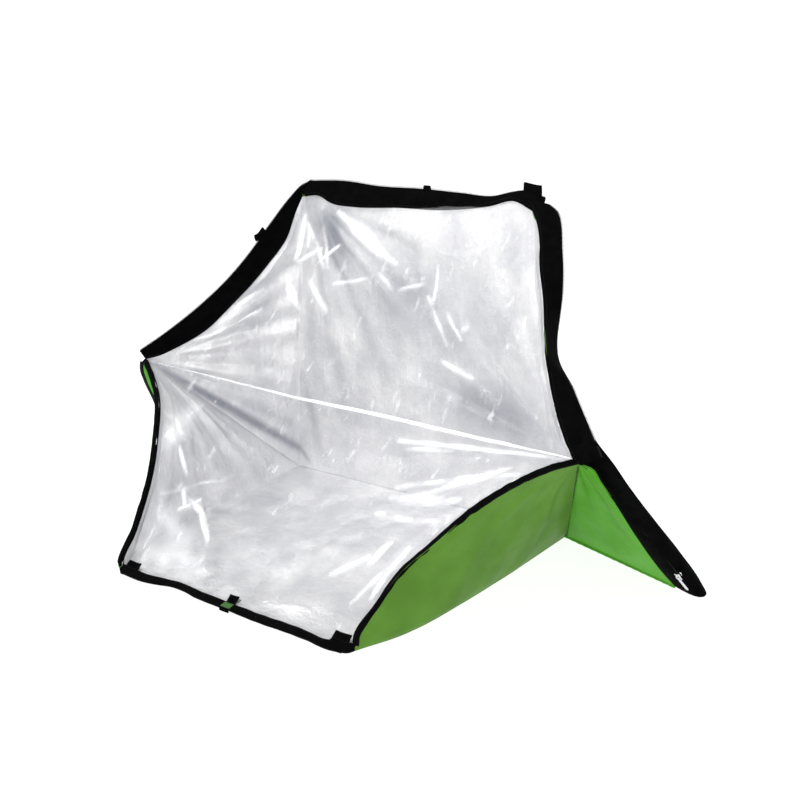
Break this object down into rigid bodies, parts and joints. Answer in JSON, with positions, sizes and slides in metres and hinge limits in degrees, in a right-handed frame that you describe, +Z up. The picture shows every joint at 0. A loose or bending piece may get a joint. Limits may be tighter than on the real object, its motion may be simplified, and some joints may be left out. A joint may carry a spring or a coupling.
{
  "type": "solar cooking bag",
  "caption": "Fold-flat padded solar cooking bag with silver lining, green cover, black zip bands and a clear film window over a pot space.",
  "frame": {"origin": "under the middle of the floor, on the ground plane", "axes": "+Z up, the front opening faces -Y, the back panel stands at +Y, +X to the right as seen from the front"},
  "size_m": [0.9906, 0.4897, 0.529],
  "materials": {
    "cover": "matt green woven cover",
    "foam": "white closed-cell foam",
    "lining": "silver metallised lining",
    "band": "black woven band",
    "coil": "black zip coil",
    "metal": "bright zip metal",
    "film": "clear glossy film",
    "patch": "green loop patch"
  },
  "bodies": {
    "base": {"floor_cover": "cover", "floor_foam": "foam", "floor_lining": "lining", "fold_strip": "cover", "front_binding": "band", "right_base_gore": "cover", "left_base_gore": "cover", "left_patch": "patch", "centre_patch": "patch", "right_patch": "patch"},
    "back": {"back_cover": "cover", "back_foam": "foam", "back_lining": "lining", "top_band": "band", "top_zip_coil": "coil", "upper_window": "film", "right_back_gore": "cover", "left_back_gore": "cover", "right_peak_band": "band", "left_peak_band": "band", "top_corner_loop": "band", "top_centre_loop": "band"},
    "right_base_wall": {"right_base_wall_lining": "lining", "right_base_wall_foam": "foam", "right_base_wall_cover": "cover", "right_wall_binding": "band"},
    "right_back_wall": {"right_back_wall_lining": "lining", "right_back_wall_foam": "foam", "right_back_wall_cover": "cover", "right_side_band": "band", "right_side_zip_coil": "coil"},
    "right_ear": {"right_ear_front_cover": "cover", "right_ear_padding": "foam", "right_ear_rear_cover": "cover", "right_ear_band": "band", "right_ear_zip_coil": "coil"},
    "left_base_wall": {"left_base_wall_lining": "lining", "left_base_wall_foam": "foam", "left_base_wall_cover": "cover", "left_wall_binding": "band"},
    "left_back_wall": {"left_back_wall_lining": "lining", "left_back_wall_foam": "foam", "left_back_wall_cover": "cover", "left_side_band": "band", "left_side_zip_coil": "coil", "left_band_loop": "band"},
    "left_ear": {"left_ear_front_cover": "cover", "left_ear_padding": "foam", "left_ear_rear_cover": "cover", "left_ear_band": "band", "left_ear_zip_coil": "coil"},
    "zip_slider": {"zip_slider": "metal"},
    "zip_pull": {"zip_pull": "metal"},
    "window_seam": {"window_seam": "film"},
    "window_flap": {"window_flap": "film"},
    "left_tab": {"left_tab": "band"},
    "centre_tab": {"centre_tab": "band"},
    "right_tab": {"right_tab": "band"}
  },
  "joints": [
    {"name": "back_fold", "type": "hinge", "parent": "base", "child": "back", "pos_m": [0, 0.231, 0.007], "axis": [1, 0, 0], "range_deg": [0, 88], "deforming": ["right_base_gore", "left_base_gore", "right_back_gore", "left_back_gore", "right_peak_band", "left_peak_band", "upper_window", "window_flap"]},
    {"name": "right_base_wall_fold", "type": "hinge", "parent": "base", "child": "right_base_wall", "pos_m": [0.2575, 0.231, 0.0059], "axis": [0.115, 0.9934, 0], "range_deg": [0, 68]},
    {"name": "right_back_wall_fold", "type": "hinge", "parent": "back", "child": "right_back_wall", "pos_m": [0.2575, 0.2321, 0.00696], "axis": [-0.0946, 0.0347, 0.9949], "range_deg": [0, 55.5]},
    {"name": "right_ear_fold", "type": "hinge", "parent": "base", "child": "right_ear", "pos_m": [0.2575, 0.231, 0.007], "axis": [0.9376, -0.1665, 0.3052], "range_deg": [0, 54.82]},
    {"name": "left_base_wall_fold", "type": "hinge", "parent": "base", "child": "left_base_wall", "pos_m": [-0.2575, 0.231, 0.0059], "axis": [0.115, -0.9934, 0], "range_deg": [0, 68]},
    {"name": "left_back_wall_fold", "type": "hinge", "parent": "back", "child": "left_back_wall", "pos_m": [-0.2575, 0.2321, 0.00696], "axis": [-0.0946, -0.0347, -0.9949], "range_deg": [0, 55.5]},
    {"name": "left_ear_fold", "type": "hinge", "parent": "base", "child": "left_ear", "pos_m": [-0.2575, 0.231, 0.007], "axis": [0.9376, 0.1665, -0.3052], "range_deg": [0, 54.82]},
    {"name": "window_seam_drop", "type": "slide", "parent": "base", "child": "window_seam", "axis": [0, 0, -1], "range_m": [0, 0.2]},
    {"name": "window_flap_lift", "type": "hinge", "parent": "window_seam", "child": "window_flap", "pos_m": [0, 0.031, 0.21291], "axis": [-1, 0, 0], "range_deg": [0, 100]},
    {"name": "zip_slider_slide", "type": "slide", "parent": "right_ear", "child": "zip_slider", "axis": [-0.4397, -0.4471, 0.7789], "range_m": [0, 0.19]},
    {"name": "zip_pull_swing", "type": "hinge", "parent": "zip_slider", "child": "zip_pull", "pos_m": [0.47424, 0.13229, 0.03162], "axis": [-0.8586, 0.4638, -0.2185], "range_deg": [0, 160]},
    {"name": "left_tab_lift", "type": "hinge", "parent": "base", "child": "left_tab", "pos_m": [-0.184, -0.231, 0.0082], "axis": [1, 0, 0], "range_deg": [0, 150]},
    {"name": "centre_tab_lift", "type": "hinge", "parent": "base", "child": "centre_tab", "pos_m": [0, -0.231, 0.0082], "axis": [1, 0, 0], "range_deg": [0, 150]},
    {"name": "right_tab_lift", "type": "hinge", "parent": "base", "child": "right_tab", "pos_m": [0.184, -0.231, 0.0082], "axis": [1, 0, 0], "range_deg": [0, 150]}
  ],
  "couplings": [
    {"joint": "right_base_wall_fold", "follows": "back_fold", "ratio": 0.77272},
    {"joint": "right_back_wall_fold", "follows": "back_fold", "ratio": 0.63068},
    {"joint": "right_ear_fold", "follows": "back_fold", "ratio": 0.62291},
    {"joint": "left_base_wall_fold", "follows": "back_fold", "ratio": 0.77272},
    {"joint": "left_back_wall_fold", "follows": "back_fold", "ratio": 0.63068},
    {"joint": "left_ear_fold", "follows": "back_fold", "ratio": 0.62291},
    {"joint": "window_seam_drop", "follows": "back_fold", "m_per_rad": 0.13022}
  ]
}
